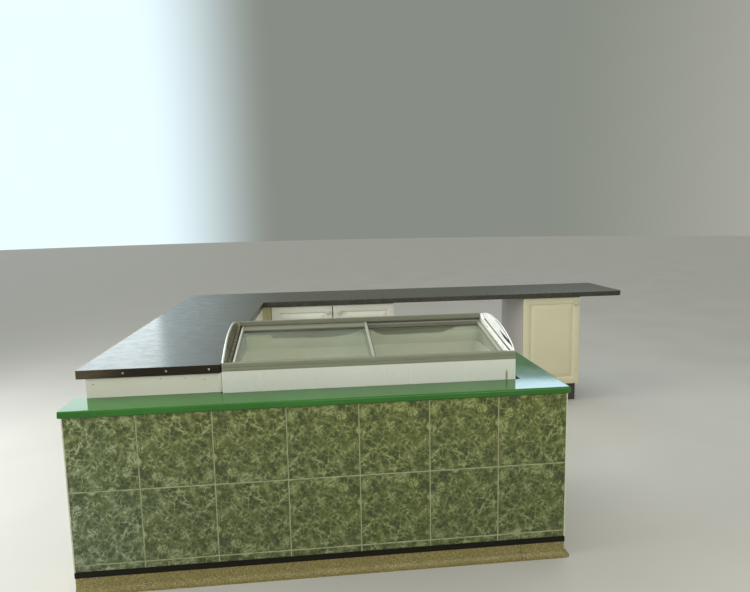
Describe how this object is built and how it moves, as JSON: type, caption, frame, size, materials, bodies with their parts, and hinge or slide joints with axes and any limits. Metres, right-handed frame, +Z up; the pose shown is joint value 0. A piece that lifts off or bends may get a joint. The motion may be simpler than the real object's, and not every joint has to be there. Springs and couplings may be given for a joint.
{
  "type": "shop serving counter with display freezer",
  "caption": "U-shaped built-in shop counter: tiled front with a green ledge, chest freezer with sliding glass lids, and a dark worktop return over base units.",
  "frame": {"origin": "middle of the footprint, at floor level", "axes": "+X along the serving front, from the window end to the open end as a customer sees it; +Y from the customer's side towards the back wall; +Z up"},
  "size_m": [3.519, 2.753, 1.0282],
  "materials": {
    "skirting_vinyl": "speckled satin floor vinyl",
    "black_strip": "dark strip, semi-gloss",
    "green_marble_tile": "green marbled glazed tile, satin",
    "timber": "planed softwood",
    "plain_board": "plain board",
    "green_gloss": "green high gloss",
    "cream_trim": "cream plastic bead",
    "white_panel": "off-white satin panel",
    "dark_laminate": "dark grey-brown laminate, satin",
    "dark_edge": "dark edge strip",
    "carcass_board": "white melamine faced board",
    "unit_plinth_board": "dark plinth board",
    "cream_door": "cream foil-wrapped door, satin",
    "knob_white": "white knob",
    "freezer_white": "white coated sheet",
    "freezer_lining": "white lining sheet",
    "foot_rubber": "black rubber",
    "grey_rail": "grey plastic profile, satin",
    "cap_plastic": "pale moulded plastic, gloss",
    "lid_glass": "clear sheet glass"
  },
  "bodies": {
    "counter": {"plinth_skirting": "skirting_vinyl", "base_strip": "black_strip", "front_tile_panel": "green_marble_tile", "end_tile_panel": "green_marble_tile", "backing_board": "plain_board", "wall_posts": "timber", "wall_rails": "timber", "end_wall_lining": "plain_board", "end_wall_rear_board": "plain_board", "left_end_board": "plain_board", "ledge_top": "green_gloss", "corner_beads": "cream_trim", "upstand_panel": "white_panel", "left_worktop": "dark_laminate", "edge_strip": "dark_edge", "left_outer_panel": "white_panel", "left_inner_panel": "white_panel", "corner_post": "timber", "back_worktop": "dark_laminate", "left_unit_sides": "carcass_board", "right_unit_sides": "carcass_board", "unit_bases": "carcass_board", "unit_backs": "carcass_board", "unit_shelves": "carcass_board", "unit_top_rails": "carcass_board", "unit_plinths": "unit_plinth_board", "unit_plinth_returns": "unit_plinth_board", "freezer_cabinet": "freezer_white", "freezer_liner": "freezer_lining", "freezer_feet": "foot_rubber", "freezer_front_rail": "grey_rail", "freezer_rear_rail": "grey_rail", "freezer_left_cap": "cap_plastic", "freezer_right_cap": "cap_plastic"},
    "left_lid": {"left_lid_frame": "grey_rail", "left_lid_pane": "lid_glass"},
    "right_lid": {"right_lid_frame": "grey_rail", "right_lid_pane": "lid_glass"},
    "left_unit_left_door_body": {"left_unit_left_door": "cream_door", "left_unit_left_knob": "knob_white"},
    "left_unit_right_door_body": {"left_unit_right_door": "cream_door", "left_unit_right_knob": "knob_white"},
    "right_unit_door_body": {"right_unit_door": "cream_door", "right_unit_knob": "knob_white"}
  },
  "joints": [
    {"name": "left_lid_slide", "type": "slide", "parent": "counter", "child": "left_lid", "axis": [1, 0, 0], "range_m": [0, 0.597]},
    {"name": "right_lid_slide", "type": "slide", "parent": "counter", "child": "right_lid", "axis": [-1, 0, 0], "range_m": [0, 0.61]},
    {"name": "left_unit_left_door_hinge", "type": "hinge", "parent": "counter", "child": "left_unit_left_door_body", "pos_m": [-1.0425, 0.8015, 0.5135], "axis": [0, 0, -1], "range_deg": [0, 90]},
    {"name": "left_unit_right_door_hinge", "type": "hinge", "parent": "counter", "child": "left_unit_right_door_body", "pos_m": [-0.0985, 0.8015, 0.5135], "axis": [0, 0, 1], "range_deg": [0, 100]},
    {"name": "right_unit_door_hinge", "type": "hinge", "parent": "counter", "child": "right_unit_door_body", "pos_m": [0.9485, 0.8015, 0.5135], "axis": [0, 0, -1], "range_deg": [0, 100]}
  ]
}
